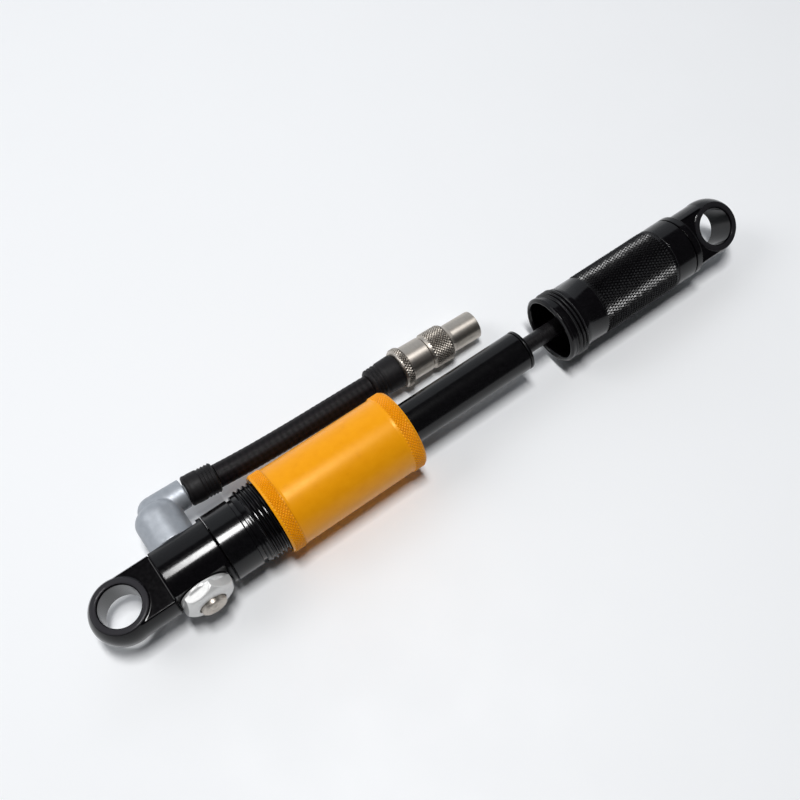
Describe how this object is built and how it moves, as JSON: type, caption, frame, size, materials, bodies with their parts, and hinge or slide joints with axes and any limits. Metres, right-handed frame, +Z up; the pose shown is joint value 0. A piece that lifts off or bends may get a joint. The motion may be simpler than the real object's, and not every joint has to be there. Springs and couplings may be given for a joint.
{
  "type": "shock suspension pump",
  "caption": "Small high pressure hand pump shaped like a shock absorber, with a sliding handle, a screw sleeve, a bleed button and a swivel hose with a screw-on chuck.",
  "frame": {"origin": "on the floor under the middle of the pump's box, measured without the hose and its chuck", "axes": "+X along the pump from the head's eyelet to the handle's eyelet, +Y towards the hose, +Z up; the pump lies on its sleeve"},
  "size_m": [0.2722, 0.0459, 0.0296],
  "materials": {
    "satin_black": "satin black anodised",
    "gloss_black": "polished black anodised",
    "orange_anodised": "satin orange anodised, knurled bands",
    "satin_silver": "satin silver",
    "nickel_plate": "nickel plated",
    "bright_steel": "ground and polished",
    "brass": "turned",
    "white_plastic": "turned acetal",
    "black_rubber": "matte"
  },
  "bodies": {
    "head": {"head_body": "satin_black", "threaded_collar": "gloss_black", "collar_oring": "black_rubber", "barrel": "gloss_black", "barrel_oring": "black_rubber", "gland_cap": "gloss_black", "gland_bush": "brass", "rod_wiper": "black_rubber", "check_valve_body": "brass", "check_valve_retainer": "brass", "check_valve_spring": "bright_steel", "bleed_valve_body": "satin_silver", "bleed_oring": "black_rubber", "bleed_spring": "bright_steel", "swivel_stem": "bright_steel", "stem_oring_inner": "black_rubber", "stem_oring_outer": "black_rubber", "stem_snap_ring": "bright_steel"},
    "check_ball": {"check_valve_ball": "bright_steel"},
    "button": {"bleed_button": "nickel_plate", "bleed_pin": "bright_steel", "bleed_seal": "black_rubber"},
    "sleeve": {"lock_sleeve": "orange_anodised"},
    "piston_head": {"piston": "white_plastic", "piston_oring": "black_rubber"},
    "handle": {"piston_rod": "satin_black", "piston_nut": "bright_steel", "handle_tube": "satin_black", "handle_end": "satin_black", "rod_bumper": "black_rubber"},
    "elbow": {"swivel_elbow": "satin_silver", "hose_boot_rear": "black_rubber", "hose": "black_rubber", "hose_boot_front": "black_rubber", "chuck_body": "nickel_plate", "chuck_snap_ring": "bright_steel", "chuck_pin": "bright_steel"},
    "nut": {"chuck_nut": "nickel_plate", "chuck_gasket": "black_rubber"}
  },
  "joints": [
    {"name": "stroke", "type": "slide", "parent": "head", "child": "piston_head", "axis": [1, 0, 0], "range_m": [-0.0745, 0.024]},
    {"name": "handle_turn", "type": "hinge", "parent": "piston_head", "child": "handle", "pos_m": [0, -0.00622, 0.01482], "axis": [1, 0, 0], "continuous": true},
    {"name": "sleeve_slide", "type": "slide", "parent": "head", "child": "sleeve", "axis": [1, 0, 0], "range_m": [-0.008, 0.05]},
    {"name": "elbow_swivel", "type": "hinge", "parent": "head", "child": "elbow", "pos_m": [-0.10105, 0.008, 0.01482], "axis": [0, 1, 0], "continuous": true},
    {"name": "nut_turn", "type": "hinge", "parent": "elbow", "child": "nut", "pos_m": [0.00885, 0.01588, 0.00772], "axis": [0.9979, 0, -0.0645], "continuous": true},
    {"name": "bleed_press", "type": "slide", "parent": "head", "child": "button", "axis": [0, 1, 0], "range_m": [0, 0.0012], "stiffness_N_per_m": 600, "deforming": ["bleed_spring"]},
    {"name": "check_lift", "type": "slide", "parent": "head", "child": "check_ball", "axis": [-1, 0, 0], "range_m": [0, 0.001], "stiffness_N_per_m": 150, "deforming": ["check_valve_spring"]}
  ]
}
